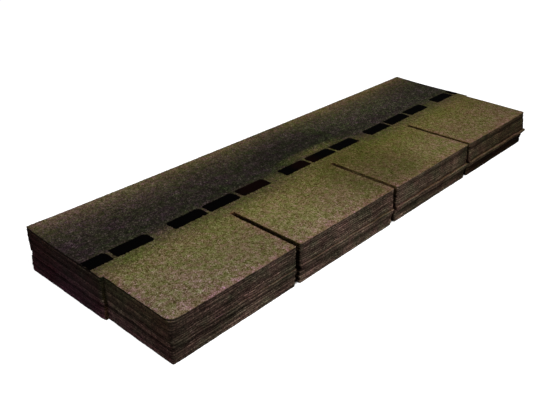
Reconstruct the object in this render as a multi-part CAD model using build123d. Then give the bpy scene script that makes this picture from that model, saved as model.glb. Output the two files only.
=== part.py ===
"""A bundle of asphalt shingles lying flat, the way the sheets were packed.

Every sheet is die-cut to the same outline: a plain headlap at the back and a row
of tabs at the front, parted by slots.  Bitumen pads are printed across the middle
of each sheet, and the next sheet up rests on them.  The sheets have crept a little
out of line, so the slots and the edges of the bundle step in and out.

X runs along the sheets, the tabs face -Y and Z is up.  The origin is at the bottom
of the bundle, under the middle of its box.
"""
from build123d import *
import os

# One sheet, in millimetres
sheet_length = 1000.0
sheet_width = 333.0
sheet_thickness = 3.4

# The tabs along the front edge, with half a slot at each end of the row; the sheet is
# cut off a little short of a whole tab at both ends
tab_count = 4
slot_width = 9.5
slot_depth = 141.0
tab_corner_radius = 4.0
end_trim = 6.0

# The bitumen pads, in one group for each tab
pads_per_group = 3
pad_length = 68.5
pad_width = 26.5
pad_thickness = 0.55
pad_gap = 4.5
pad_setback = 24.0
pad_group_offset = 13.0

# The bundle, and the most that a sheet has crept sideways, forwards or round
sheet_count = 18
side_creep = 1.2
front_creep = 3.8
turn_creep_degrees = 0.5

# How much of that each sheet has crept, from the lowest sheet up
side_creep_shares = (
    -1.0, -0.75, -1.0, -0.5, -0.33, 0.0, 0.5, 0.65, 0.5,
    0.4, 0.2, 0.35, 0.0, 0.2, -0.15, 0.1, -0.1, 0.0,
)
front_creep_shares = (
    -0.08, -0.03, -0.1, 0.06, 0.12, 0.2, 0.74, 1.0, 0.22,
    0.18, 0.16, 0.12, 0.1, 0.12, 0.02, 0.08, -0.05, 0.0,
)
turn_creep_shares = (
    0.0, 0.04, -0.04, -0.1, -0.16, -0.3, -0.58, -1.0, -0.6,
    -0.5, -0.42, -0.36, -0.26, -0.2, -0.1, -0.04, 0.04, 0.0,
)

# How far a cutting shape runs past the edge that it opens
cut_overrun = 2.0

tab_pitch = (sheet_length + 2 * end_trim) / tab_count
front_edge = -sheet_width / 2
slot_end = front_edge + slot_depth
pad_line = slot_end + pad_setback + pad_width / 2
pad_pitch = pad_length + pad_gap
course_height = sheet_thickness + pad_thickness


def tab_lines():
    """Places along X where one tab's pitch ends and the next begins, over the whole row."""
    return [(index - tab_count / 2) * tab_pitch for index in range(tab_count + 1)]


def slot_places():
    """Places along X of the slots; the first and last lie on the sheet's ends."""
    return [-sheet_length / 2, *tab_lines()[1:-1], sheet_length / 2]


def sheet_outline():
    """The die-cut outline: a rectangle with its slots cut in and its tab corners eased."""
    outline = Rectangle(sheet_length, sheet_width)
    slot = Rectangle(slot_width, slot_depth + cut_overrun, align=(Align.CENTER, Align.MAX))
    for place in slot_places():
        outline -= Pos(place, slot_end) * slot
    return fillet(outline.vertices().group_by(Axis.Y)[0], tab_corner_radius)


def pad_outline():
    """The printed row of pads, in groups beside the slots, cut off at the sheet's ends."""
    row = Sketch()
    for place in tab_lines():
        for index in range(pads_per_group):
            step = (index - (pads_per_group - 1) / 2) * pad_pitch
            row += Pos(place + pad_group_offset + step, pad_line) * Rectangle(pad_length, pad_width)
    return row & Rectangle(sheet_length, sheet_width)


def share_of(shares, index):
    """The share for one sheet; a taller bundle goes through the list again."""
    return shares[index % len(shares)]


def sheet_place(index):
    """Where one sheet lies: on the pads of the sheet below, crept out of line."""
    side = side_creep * share_of(side_creep_shares, index)
    forward = front_creep * share_of(front_creep_shares, index)
    turn = turn_creep_degrees * share_of(turn_creep_shares, index)
    return Pos(side, -forward, index * course_height) * Rot(0, 0, turn)


def bundle():
    """All the sheets and their pads by name, with the middle of the box over the origin."""
    sheet = extrude(sheet_outline(), sheet_thickness)
    pads = Pos(0, 0, sheet_thickness) * extrude(pad_outline(), pad_thickness)
    pieces = {}
    for index in range(sheet_count):
        place = sheet_place(index)
        pieces[f"shingle_{index + 1:02d}"] = place * sheet
        pieces[f"seal_pads_{index + 1:02d}"] = place * pads
    middle = Compound(list(pieces.values())).bounding_box().center()
    return {name: Pos(-middle.X, -middle.Y) * piece for name, piece in pieces.items()}


os.makedirs("parts", exist_ok=True)
for name, piece in bundle().items():
    export_step(piece, f"parts/{name}.step")
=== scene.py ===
"""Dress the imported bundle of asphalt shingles.

The CAD sheets say where every sheet lies.  Each one is built again here with the rough
rim of a die-cut sheet, its tabs a little out of line, and settled on the sheets under
it.  The top sheet is a fine grid with the relief of its granules.  Sizes are in metres.
"""

import logging
from dataclasses import dataclass
from enum import Enum

import bpy
import numpy as np
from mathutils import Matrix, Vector


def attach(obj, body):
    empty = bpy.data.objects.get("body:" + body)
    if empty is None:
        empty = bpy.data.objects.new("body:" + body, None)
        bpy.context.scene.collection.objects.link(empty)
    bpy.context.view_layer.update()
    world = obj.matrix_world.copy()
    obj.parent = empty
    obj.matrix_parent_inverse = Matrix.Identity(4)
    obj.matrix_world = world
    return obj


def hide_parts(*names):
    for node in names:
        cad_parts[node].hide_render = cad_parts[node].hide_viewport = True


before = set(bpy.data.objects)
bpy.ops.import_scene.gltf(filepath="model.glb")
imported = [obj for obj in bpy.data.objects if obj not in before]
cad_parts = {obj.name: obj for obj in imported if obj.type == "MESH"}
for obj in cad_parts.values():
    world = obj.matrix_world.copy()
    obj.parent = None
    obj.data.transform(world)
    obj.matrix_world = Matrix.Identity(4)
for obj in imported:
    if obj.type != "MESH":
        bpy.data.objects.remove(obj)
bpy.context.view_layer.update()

LOG = logging.getLogger("shingle_bundle")
BODY = "root"
SEED = 4100
SHEET_SEED = SEED + 1
PAD_SEED = SEED + 101
NOISE_LIMIT = 2.0

Array = np.ndarray
Draws = np.random.Generator
Material = bpy.types.Material
Colour = tuple[float, float, float]
Pair = tuple[float, float]
Range = tuple[float, float, float, float]  # two limits of a value, and what they become
Numbers = tuple[float, ...]
Palette = tuple[tuple[float, Colour], ...]  # shares or places, with their colours
Profile = tuple[tuple[float, float, float], ...]  # inset, share of the thickness, roughness
Blocks = list[tuple[int, Array]]  # the place of a material, with its faces

WHITE: Colour = (1.0, 1.0, 1.0)


class Face(Enum):
    """The finishes on one sheet, by their place in its list of materials."""

    TOP = 0
    RIM = 1
    UNDER = 2


class Slot(Enum):
    """The record's material slots."""

    GRANULES = "granules"
    BITUMEN = "bitumen"


class Field(Enum):
    """The attributes that the finishes read from a sheet's mesh."""

    DIE = "die_place"
    EDGE = "edge_distance"
    TONE = "cut_tone"


def smooth_step(value: Array) -> Array:
    """Ease from 0 to 1 as the value goes from 0 to 1: three squares less two cubes."""
    share = np.clip(value, 0.0, 1.0)
    return share * share * (3.0 - 2.0 * share)


def clipped_noise(rng: Draws, *shape: int) -> Array:
    """Draw normal noise of a shape, cut off at twice its spread."""
    return np.clip(rng.normal(size=shape), -NOISE_LIMIT, NOISE_LIMIT)


def waves(rng: Draws, along: Array, lengths: Numbers) -> Array:
    """Add sine waves of the given lengths, each with its own phase and about one high in all.

    Args:
        rng: Gives the phases.
        along: Where to work the waves out, in metres.
        lengths: The wavelengths, in metres.

    Returns:
        The height of the waves at every place, from about -1 to 1.
    """
    turns = 2.0 * np.pi * along[..., None] / np.array(lengths)
    phases = rng.uniform(0.0, 2.0 * np.pi, len(lengths))
    return np.sin(turns + phases).mean(-1) * np.sqrt(len(lengths))


def ring_quads(rows: int, count: int) -> Array:
    """Join neighbouring rows of a closed path, two points of a row and two of the next to a face.

    Args:
        rows: How many rows there are, from the lowest up.
        count: How many points a row has, counter-clockwise seen from above.

    Returns:
        The corners of each face, outward side first.
    """
    here = np.arange(count)
    after = np.roll(here, -1)
    low = np.arange(rows - 1)[:, None] * count
    high = low + count
    return np.stack([low + here, low + after, high + after, high + here], -1).reshape(-1, 4)


def grid_quads(rows: int, columns: int) -> Array:
    """Join the points of a grid, counted along the rows, into faces that look up."""
    first = (np.arange(rows - 1)[:, None] * columns + np.arange(columns - 1)).ravel()
    return np.stack([first, first + 1, first + columns + 1, first + columns], -1)


def fans(points: Array, panels: list[Array]) -> tuple[Array, Array]:
    """Close panels by triangles round a point in the middle of each.

    Args:
        points: The points so far.
        panels: The points of each panel by number, counter-clockwise seen from the outside.

    Returns:
        The points with the middles of the panels' boxes after them, and the triangles.
    """
    middles = [(points[panel].min(0) + points[panel].max(0)) / 2 for panel in panels]
    hubs = [np.full(len(panel), len(points) + index) for index, panel in enumerate(panels)]
    faces = [np.stack([panel, np.roll(panel, -1), hub], 1) for panel, hub in zip(panels, hubs)]
    return np.concatenate([points, middles]), np.concatenate(faces)


@dataclass(frozen=True)
class DieCut:
    """The outline that every sheet is cut to, about the middle of the sheet."""

    length: float = 1.0
    width: float = 0.333
    thickness: float = 0.0034
    tab_count: int = 4
    slot_width: float = 0.0095
    slot_depth: float = 0.141
    end_trim: float = 0.006
    worn_radius: float = 0.0015
    mouth_share: float = 0.3
    ease_reach: float = 1.5
    ease_limit: float = 1.2

    @property
    def slot_end(self) -> float:
        """How far back the slots reach."""
        return self.slot_depth - self.width / 2

    def tab_lines(self) -> Array:
        """Places along the sheet where one tab's pitch ends and the next begins."""
        return np.linspace(-0.5, 0.5, self.tab_count + 1) * (self.length + 2.0 * self.end_trim)

    def slots(self) -> Array:
        """Places along the sheet of the slots; the first and last lie on its ends."""
        return np.clip(self.tab_lines(), -self.length / 2, self.length / 2)

    def from_slot(self, along: Array) -> Array:
        """Measure how far places along the sheet are from the middle of the nearest slot."""
        return np.abs(along[:, None] - self.slots()).min(1)

    def tab_of(self, along: Array) -> Array:
        """Say which tab each place along the sheet belongs to."""
        return np.searchsorted(self.slots()[1:-1], along)

    def corners(self) -> Array:
        """List the corners of the square-cut outline, counter-clockwise from the first tab.

        Returns:
            The corners of each tab's front and of the slot after it, then those of the headlap.
        """
        half_length, front = self.length / 2, -self.width / 2
        left = self.slots()[:-1] + self.slot_width / 2
        right = self.slots()[1:] - self.slot_width / 2
        beyond = np.minimum(right + self.slot_width, half_length)
        along = np.stack([left, right, right, beyond], 1).ravel()
        across = np.tile([front, front, self.slot_end, self.slot_end], self.tab_count)
        headlap = [
            (half_length, -front),
            (-half_length, -front),
            (-half_length, self.slot_end),
            (left[0], self.slot_end),
        ]
        return np.concatenate([np.stack([along, across], 1), headlap])

    def path(self, spacing: float) -> tuple[Array, Array, Array]:
        """Walk round the outline in even steps.

        Args:
            spacing: The longest step.

        Returns:
            The points, for each the step to the inside, and the number of the point at each corner.
        """
        corners = self.corners()
        runs = np.roll(corners, -1, 0) - corners
        counts = np.maximum(np.ceil(np.abs(runs).sum(1) / spacing).astype(int), 2)
        run = np.repeat(np.arange(len(corners)), counts)
        starts = np.cumsum(counts) - counts
        share = (np.arange(counts.sum()) - starts[run]) / counts[run]
        points = corners[run] + share[:, None] * runs[run]
        return points, self.inward(run, share == 0.0), starts

    def panels(self, starts: Array, count: int) -> list[Array]:
        """Split a path round the outline into panels with no corner that turns in.

        Args:
            starts: The number of the path's point at each corner.
            count: How many points the path has.

        Returns:
            The points of each tab and of the headlap by number, counter-clockwise.
        """
        first = 4 * np.arange(self.tab_count)  # each tab has four of the corners
        left, right = starts[first - 1], starts[first + 2]
        panels = [
            np.arange(begin - count * (begin > end), end + 1) % count
            for begin, end in zip(left, right)
        ]
        behind = [np.arange(begin, end + 1) for begin, end in zip(right, np.roll(left, -1))]
        return [*panels, np.concatenate(behind)]

    def inward(self, run: Array, at_corner: Array) -> Array:
        """Give the step to the inside for points on the outline.

        Args:
            run: Which run of the outline each point is on.
            at_corner: Whether it is the run's first point, which the run before it shares.

        Returns:
            The run's direction turned a quarter to the left; at a corner, both runs' added up.
        """
        corners = self.corners()
        runs = np.roll(corners, -1, 0) - corners
        along = runs / np.abs(runs).sum(1)[:, None]
        across = np.stack([-along[:, 1], along[:, 0]], 1)
        steps = across[run]
        steps[at_corner] += across[run[at_corner] - 1]
        return steps

    def edge_distance(self, points: Array) -> Array:
        """Measure how far places on the sheet are from its cut edge.

        Args:
            points: Places on the sheet, along and across.

        Returns:
            The least of the distances to the front, the back, the ends and the nearest slot, which
            is the hypotenuse of the steps beside it and behind its end. It is 0 in a slot.
        """
        along, across = points[:, 0], points[:, 1]
        beside = np.maximum(self.from_slot(along) - self.slot_width / 2, 0.0)
        behind = np.maximum(across - self.slot_end, 0.0)
        sides = np.minimum(self.length / 2 - np.abs(along), self.width / 2 - np.abs(across))
        return np.minimum(np.hypot(beside, behind), sides)

    def eased(self, points: Array, tab_radius: float, end_radius: float) -> Array:
        """Round the corners that stand out, by mapping each corner's square onto a quarter disc.

        Args:
            points: Places on the sheet, along and across.
            tab_radius: The radius of the tabs' corners.
            end_radius: The radius of the first tab's outer corner.

        Returns:
            The same places, where p and q from 0 to 1 in a corner's square become
            p * sqrt(1 - q * q / 2) and q * sqrt(1 - p * p / 2).
        """
        corners = self.corners()
        front = np.nonzero(corners[:, 1] < self.slot_end)[0]
        at_ends = np.nonzero(np.abs(corners[:, 0]) >= self.length / 2)[0]
        radii = np.full(len(corners), self.worn_radius)
        radii[front] = tab_radius
        radii[front[0]] = end_radius
        facing = -self.inward(np.arange(len(corners)), np.ones(len(corners), bool))
        moved = points.copy()
        for corner in (*front, *at_ends):
            side, radius = facing[corner], radii[corner]
            square = (moved - corners[corner]) * side / radius + 1.0
            near = np.all((square > 0.0) & (square < self.ease_reach), axis=1)
            other = np.clip(square[near][:, ::-1], 0.0, self.ease_limit)
            disc = square[near] * np.sqrt(1.0 - other**2 / 2.0)
            moved[near] += (disc - square[near]) * side * radius
        return moved

    def in_slot(self, points: Array) -> Array:
        """Say how deep in a slot places on the cut edge are.

        Args:
            points: Places on the sheet, along and across.

        Returns:
            1 on the walls of a slot between two tabs, easing to 0 at its open end, and 1 on every
            slot's end.
        """
        along, across = points[:, 0], points[:, 1]
        near = self.slot_width / 2 + self.worn_radius
        beside = np.abs(along[:, None] - self.slots()[1:-1]).min(1) < near
        deep = smooth_step((across + self.width / 2) / (self.mouth_share * self.slot_width))
        deep = deep * (across < self.slot_end + self.worn_radius)
        at_end = np.abs(across - self.slot_end) < self.worn_radius
        return np.maximum(beside * deep, at_end & (self.from_slot(along) < near))


DIE = DieCut()


@dataclass(frozen=True)
class Settling:
    """How the sheets bear down on each other away from the pads that hold them apart."""

    die: DieCut = DIE
    pad_line: float = 0.01175
    pad_gap: float = 0.00055
    front_droop: float = 0.0011
    back_lift: float = 0.0040
    tip_curl: float = 0.0016
    tip_reach: float = 0.13
    tip_power: int = 4
    end_lift: float = 0.0010
    end_reach: float = 0.1
    crown: float = 0.0008
    crown_reach: float = 0.07
    ripple: float = 0.0005
    ripple_slant: float = 0.4
    ripple_along: Numbers = (0.71, 0.43, 0.29)
    ripple_across: Numbers = (0.9, 0.37)
    weave: float = 0.0006
    weave_lengths: Numbers = (0.113, 0.067, 0.041)
    gap_shares: Numbers = (
        1.0, 0.8, 1.2, 0.9, 1.3, 1.0, 0.8, 1.5, 0.9, 0.8, 1.1, 1.3, 0.9, 1.0, 0.8, 1.3, 1.0,
    )

    def level(self, number: int) -> float:
        """Give a sheet's height in the bundle: 0 for the lowest sheet and 1 for the top one."""
        return number / len(self.gap_shares)

    def front_lift(self, number: int) -> float:
        """Give the front's height above its CAD place: what is left of the gaps under it."""
        spare = len(self.gap_shares) * self.pad_gap - self.front_droop
        filled = spare * sum(self.gap_shares[:number]) / sum(self.gap_shares)
        return filled - number * self.pad_gap

    def lift(self, number: int, points: Array) -> Array:
        """Work out how far a sheet lies above its CAD place.

        Args:
            number: The sheet's number from the bottom, from 0.
            points: Places on the sheet, along and across.

        Returns:
            The sum of a droop and a lift that grow with the square of the way to the front and to
            the back, a curl at the back left tip, a lift at the right end, a crown near the pads,
            a slow ripple, and a weave that is strongest halfway up the bundle.
        """
        along, across = points[:, 0], points[:, 1]
        level, half_length, half_width = self.level(number), self.die.length / 2, self.die.width / 2
        from_pads = across - self.pad_line
        to_front = np.clip(-from_pads / (self.pad_line + half_width), 0.0, 1.0)
        to_back = np.clip(from_pads / (half_width - self.pad_line), 0.0, 1.0)
        droop = self.front_lift(number) * to_front**2
        lift = self.back_lift * level * to_back**2
        at_tip = to_back**self.tip_power * np.exp(-(along + half_length) / self.tip_reach)
        curl = self.tip_curl * level**self.tip_power * at_tip
        from_end = (half_length - along) / self.end_reach
        end = self.end_lift * level * (1.0 - to_front**2) * np.exp(-(from_end**2))
        crown = self.crown * level * np.exp(-((from_pads / self.crown_reach) ** 2))
        rng = np.random.default_rng(SEED)
        ripple = waves(rng, along + self.ripple_slant * across, self.ripple_along)
        ripple = self.ripple * level * ripple * waves(rng, across, self.ripple_across)
        halfway = 4.0 * level * (1.0 - level)
        weave = self.weave * halfway * waves(rng, along - across, self.weave_lengths)
        return droop + lift + curl + end + crown + ripple + weave


@dataclass(frozen=True)
class SheetPlace:
    """Where a CAD sheet lies: the middle of its outline, its underside and its turn."""

    middle: Pair
    underside: float
    turn: float

    @classmethod
    def of_node(cls, node: bpy.types.Object, die: DieCut) -> "SheetPlace":
        """Read the place from the two back corners of a CAD sheet.

        Args:
            node: The CAD sheet.
            die: The outline it was cut to.

        Returns:
            The turn of the back edge, and the middle half a width in front of it.
        """
        places = np.empty(3 * len(node.data.vertices), np.float32)
        node.data.vertices.foreach_get("co", places)
        places = places.reshape(-1, 3).astype(float)
        left = places[np.argmax(places[:, 1] - places[:, 0])]
        right = places[np.argmax(places[:, 1] + places[:, 0])]
        turn = float(np.arctan2(right[1] - left[1], right[0] - left[0]))
        back = np.array([-np.sin(turn), np.cos(turn)]) * die.width / 2
        middle = (left + right)[:2] / 2 - back
        return cls((float(middle[0]), float(middle[1])), float(places[:, 2].min()), turn)

    def laid(self, points: Array) -> Array:
        """Turn places on the sheet about its middle and move them to where it lies."""
        cosine, sine = np.cos(self.turn), np.sin(self.turn)
        along = points[:, 0] * cosine - points[:, 1] * sine + self.middle[0]
        across = points[:, 0] * sine + points[:, 1] * cosine + self.middle[1]
        return np.stack([along, across, points[:, 2] + self.underside], 1)


@dataclass(frozen=True)
class Noise:
    """Noise over a surface, and the values that its heights from low to high are carried to."""

    scale: float
    start: float = 0.0
    end: float = 1.0
    low: float = 0.25
    high: float = 0.75
    detail: float = 3.0
    rough: float = 0.6
    stretch: Colour = WHITE


class Signal:
    """A number or colour on its way through a material's nodes, to write formulas with."""

    def __init__(self, bench: "Bench", socket: bpy.types.NodeSocket) -> None:
        """Hold one output of a node on the bench."""
        self.bench = bench
        self.socket = socket

    def __add__(self, other: object) -> "Signal":
        """Add another signal or a plain number."""
        return self.bench.math("ADD", self, other)

    def __sub__(self, other: object) -> "Signal":
        """Take away another signal or a plain number."""
        return self.bench.math("SUBTRACT", self, other)

    def __rsub__(self, other: float) -> "Signal":
        """Take this signal away from a plain number."""
        return self.bench.math("SUBTRACT", other, self)

    def __mul__(self, other: object) -> "Signal":
        """Multiply by another signal or a plain number."""
        return self.bench.math("MULTIPLY", self, other)

    def __truediv__(self, other: float) -> "Signal":
        """Divide by a plain number."""
        return self.bench.math("DIVIDE", self, other)

    def __abs__(self) -> "Signal":
        """Drop the sign."""
        return self.bench.math("ABSOLUTE", self)

    def line(self, start: float, rise: float) -> "Signal":
        """Carry this number onto a straight line with that start and rise."""
        return self * rise + start


class Bench:
    """A material or world on the bench, with short calls for the nodes that the finishes share."""

    def __init__(self, owner: Material | bpy.types.World) -> None:
        """Start with an empty node tree."""
        self.owner = owner
        owner.use_nodes = True
        self.tree = owner.node_tree
        self.tree.nodes.clear()

    @classmethod
    def named(cls, name: str) -> "Bench":
        """Start a material of that name."""
        return cls(bpy.data.materials.new(name))

    def feed(self, socket: bpy.types.NodeSocket, value: object) -> None:
        """Link a socket to a signal, an output or a node's first output, or set it to a value."""
        if isinstance(value, Signal):
            value = value.socket
        if isinstance(value, bpy.types.Node):
            value = value.outputs[0]
        if isinstance(value, bpy.types.NodeSocket):
            self.tree.links.new(value, socket)
        else:
            socket.default_value = value

    def node(
        self, kind: str, inputs: dict[str | int, object] | None = None, **settings: object
    ) -> bpy.types.Node:
        """Add a node.

        Args:
            kind: The node's type.
            inputs: What to feed to its inputs, by name or place.
            settings: Its settings.

        Returns:
            The node.
        """
        made = self.tree.nodes.new(kind)
        for name, value in settings.items():
            setattr(made, name, value)
        for name, value in (inputs or {}).items():
            self.feed(made.inputs[name], value)
        return made

    def math(self, operation: str, *values: object) -> Signal:
        """Add a Math node and give its output."""
        made = self.node("ShaderNodeMath", dict(enumerate(values)), operation=operation)
        return Signal(self, made.outputs[0])

    def place(self, stretch: Colour = WHITE) -> Signal:
        """Give the Object coordinates, each multiplied by its part of the stretch."""
        place = self.node("ShaderNodeTexCoord").outputs["Object"]
        made = self.node("ShaderNodeVectorMath", {0: place, 1: stretch}, operation="MULTIPLY")
        return Signal(self, made.outputs[0])

    def field(self, name: Field) -> bpy.types.Node:
        """Add a node that reads one of the sheet's attributes."""
        return self.node("ShaderNodeAttribute", attribute_name=name.value)

    def parts(self, vector: object) -> list[Signal]:
        """Split a vector into its three numbers."""
        made = self.node("ShaderNodeSeparateXYZ", {0: vector})
        return [Signal(self, socket) for socket in made.outputs]

    def die_place(self) -> list[Signal]:
        """Give the place on the sheet before it was laid: along, across and up."""
        return self.parts(self.field(Field.DIE).outputs["Vector"])

    def noise(self, noise: Noise) -> Signal:
        """Give the height of noise on the Object coordinates, squeezed by its stretch."""
        inputs = {"Vector": self.place(noise.stretch), "Scale": noise.scale}
        inputs |= {"Detail": noise.detail, "Roughness": noise.rough}
        return Signal(self, self.node("ShaderNodeTexNoise", inputs).outputs["Fac"])

    def mottle(self, noise: Noise) -> Signal:
        """Give noise carried over to its range of values."""
        return self.span(self.noise(noise), noise.low, noise.high, noise.start, noise.end)

    def cells(self, scale: float) -> bpy.types.Node:
        """Add a Voronoi pattern on the Object coordinates."""
        inputs = {"Vector": self.place(), "Scale": scale}
        return self.node("ShaderNodeTexVoronoi", inputs, feature="F1", voronoi_dimensions="3D")

    def span(self, value: object, *limits: float) -> Signal:
        """Carry a value smoothly from the first two limits over to the last two."""
        inputs = dict(enumerate((value, *limits)))
        made = self.node("ShaderNodeMapRange", inputs, interpolation_type="SMOOTHSTEP")
        return Signal(self, made.outputs[0])

    def ramp(self, value: Signal, stops: Palette, steps: bool = False) -> Signal:
        """Give a colour for a value from 0 to 1.

        Args:
            value: The value to look up.
            stops: Where each colour starts, and the colour.
            steps: Whether the colours change in steps rather than smoothly.

        Returns:
            The colour.
        """
        made = self.node("ShaderNodeValToRGB", {0: value})
        band = made.color_ramp
        band.interpolation = "CONSTANT" if steps else "LINEAR"
        while len(band.elements) < len(stops):
            band.elements.new(1.0)
        for element, (position, colour) in zip(band.elements, stops):
            element.position = position
            element.color = (*colour, 1.0)
        return Signal(self, made.outputs[0])

    def picked(self, value: Signal, shares: Palette) -> Signal:
        """Pick colours by their shares: each starts where the shares before it add up to."""
        sizes = [share for share, _ in shares]
        starts = np.cumsum([0.0, *sizes[:-1]]) / sum(sizes)
        stops = tuple((float(start), colour) for start, (_, colour) in zip(starts, shares))
        return self.ramp(value, stops, steps=True)

    def mix(self, share: object, first: object, second: object, blend: str = "MIX") -> Signal:
        """Mix two colours by a share, in the given way."""
        made = self.node("ShaderNodeMix", {0: share}, data_type="RGBA", blend_type=blend)
        # Sockets 6 and 7 are the node's two colours, and output 2 is the mixed one
        for socket, value in ((made.inputs[6], first), (made.inputs[7], second)):
            self.feed(socket, (*value, 1.0) if isinstance(value, tuple) else value)
        return Signal(self, made.outputs[2])

    def tinted(self, colour: Signal, tint: object, share: object = 1.0) -> Signal:
        """Multiply a colour by a tint, as far as the share says."""
        return self.mix(share, colour, tint, "MULTIPLY")

    def shade(self, value: Signal, depth: object = 1.0) -> Signal:
        """Make a shade that takes away blue first: its blue is the value to the power of depth."""
        inputs = {0: value, 1: value, 2: self.math("POWER", value, depth)}
        return Signal(self, self.node("ShaderNodeCombineColor", inputs).outputs[0])

    def viewed(self) -> Signal:
        """Give 1 to what the camera, a reflection or glass sees, and 0 to light on other things."""
        rays = self.node("ShaderNodeLightPath").outputs
        mirrored = self.math("MAXIMUM", rays["Is Glossy Ray"], rays["Is Transmission Ray"])
        return self.math("MAXIMUM", rays["Is Camera Ray"], mirrored)

    def finish(
        self, colour: Signal, roughness: Signal, height: Signal, relief: float, shine: float
    ) -> Material:
        """Join the colour, roughness and relief to the shader.

        Args:
            colour: The colour.
            roughness: The roughness.
            height: The relief's height, from 0 to about 1.
            relief: How many metres a height of 1 is.
            shine: The specular level.

        Returns:
            The finished material.
        """
        bump = {"Strength": 1.0, "Distance": relief, "Height": height}
        inputs = {"Base Color": colour, "Roughness": roughness, "Specular IOR Level": shine}
        inputs["Normal"] = self.node("ShaderNodeBump", bump)
        shader = self.node("ShaderNodeBsdfPrincipled", inputs)
        self.node("ShaderNodeOutputMaterial", {"Surface": shader})
        return self.owner


@dataclass(frozen=True)
class Spot:
    """A soft patch of a sheet where the blend of the granules leans another way."""

    middle: Pair
    radius: Pair
    tint: Colour


@dataclass(frozen=True)
class GranuleFinish:
    """Mineral granules pressed into bitumen: olive on the tabs, charcoal on the headlap."""

    die: DieCut = DIE
    grain: float = 660.0
    relief: float = 0.0005
    shine: float = 0.02
    olive: Palette = (
        (0.34, (0.178, 0.144, 0.074)),
        (0.22, (0.150, 0.125, 0.058)),
        (0.15, (0.240, 0.189, 0.118)),
        (0.15, (0.172, 0.133, 0.076)),
        (0.14, (0.070, 0.053, 0.020)),
    )
    charcoal: Palette = (
        (0.42, (0.0085, 0.0070, 0.0060)),
        (0.22, (0.027, 0.0205, 0.0190)),
        (0.18, (0.024, 0.0225, 0.0170)),
        (0.14, (0.053, 0.0445, 0.0380)),
        (0.04, (0.090, 0.0790, 0.0640)),
    )
    olive_share: tuple[Pair, ...] = (
        (-0.166, 1.0),
        (-0.045, 1.0),
        (-0.026, 0.84),
        (-0.012, 0.62),
        (0.008, 0.34),
        (0.022, 0.10),
        (0.036, 0.02),
        (0.056, 0.02),
        (0.085, 0.04),
        (0.105, 0.10),
        (0.125, 0.21),
        (0.140, 0.34),
        (0.152, 0.50),
        (0.1665, 0.75),
    )
    blend_drift: Palette = (
        (0.08, (1.01, 1.0, 1.04)),
        (0.38, (0.97, 0.96, 0.84)),
        (0.62, (0.84, 0.86, 0.58)),
        (0.9, (1.07, 1.0, 0.85)),
    )
    tab_drift: Palette = (
        (0.0, (1.04, 0.98, 1.12)),
        (0.08, (1.0, 1.0, 1.08)),
        (0.22, (1.0, 1.0, 1.0)),
        (0.36, (0.96, 1.01, 0.82)),
        (0.46, (0.93, 1.0, 0.75)),
        (0.62, (1.0, 1.0, 1.0)),
        (0.88, (1.0, 1.0, 1.0)),
        (0.97, (1.09, 0.98, 1.12)),
    )
    headlap_drift: Palette = (
        (0.0, (1.02, 0.91, 1.04)),
        (0.25, (0.97, 0.93, 0.97)),
        (0.5, (1.0, 1.04, 0.97)),
        (0.68, (1.3, 1.38, 1.22)),
    )
    spots: tuple[Spot, ...] = (
        Spot((0.03, -0.085), (0.10, 0.09), (0.66, 0.66, 0.62)),
        Spot((-0.19, -0.10), (0.06, 0.075), (1.26, 1.25, 1.3)),
        Spot((0.19, -0.13), (0.055, 0.05), (1.18, 1.18, 1.25)),
        Spot((-0.01, 0.075), (0.12, 0.04), (0.68, 0.70, 0.66)),
        Spot((0.01, 0.040), (0.075, 0.010), (2.1, 2.1, 1.6)),
        Spot((-0.28, 0.034), (0.24, 0.014), (0.86, 0.97, 0.84)),
        Spot((0.2, 0.156), (0.34, 0.016), (1.3, 1.25, 1.25)),
        Spot((0.25, 0.104), (0.15, 0.045), (1.35, 1.35, 1.33)),
        Spot((0.2, 0.047), (0.13, 0.012), (0.8, 0.8, 0.76)),
        Spot((-0.5, -0.09), (0.016, 0.1), (0.85, 0.84, 0.87)),
        Spot((0.49, -0.08), (0.05, 0.09), (0.88, 0.88, 0.9)),
        Spot((0.503, 0.07), (0.009, 0.08), (0.3, 0.28, 0.26)),
        Spot((-0.43, -0.014), (0.09, 0.014), (0.93, 1.0, 0.87)),
    )
    spot_fade: Range = (0.5, 1.4, 1.0, 0.0)
    spot_rim: Noise = Noise(14.0)
    # Painted shade: a darker tint for the granules of sheets that lie under others
    painted_shade: Colour = WHITE
    green_tint: Colour = (0.90, 1.05, 0.80)
    rose_tint: Colour = (1.10, 0.95, 1.16)
    hue_drift: Noise = Noise(15.0, low=0.22, high=0.78, rough=0.62)
    hue_clumps: Noise = Noise(110.5, detail=1.0)
    clump_lean: float = 3.2
    charcoal_hue: Noise = Noise(28.0, low=0.3, high=0.7, rough=0.65)
    crumbs: Noise = Noise(119.0, 0.55, 1.55, rough=0.7)
    fringe_tint: Colour = (1.21, 1.01, 1.33)
    fringe: float = 0.018
    fringe_edge: Pair = (0.4, 1.6)
    fringe_rim: Noise = Noise(60.0, detail=2.0, rough=0.5)
    fringe_back: Pair = (-0.01, 0.03)
    fringe_right: Range = (0.2, 0.45, 1.0, 0.45)
    border: Noise = Noise(11.0)
    border_wander: float = 0.028
    border_scatter: float = 2.4
    reach: float = 0.024
    reach_middle: float = 0.02
    reach_width: float = 0.08
    clouds: tuple[Noise, ...] = (
        Noise(5.0, 0.9, 1.1, detail=4.0),
        Noise(70.0, 0.84, 1.16),
        Noise(170.0, 0.6, 1.4, rough=0.7),
    )
    tones: Pair = (0.75, 0.5)
    hollows: Range = (0.35, 0.85, 1.0, 0.5)
    shade_depth: Pair = (1.1, 0.45)
    roughness: Range = (0.0, 1.0, 0.78, 1.0)
    grit: Noise = Noise(1500.0, detail=1.0, rough=0.5)
    grit_height: float = 0.3

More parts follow.
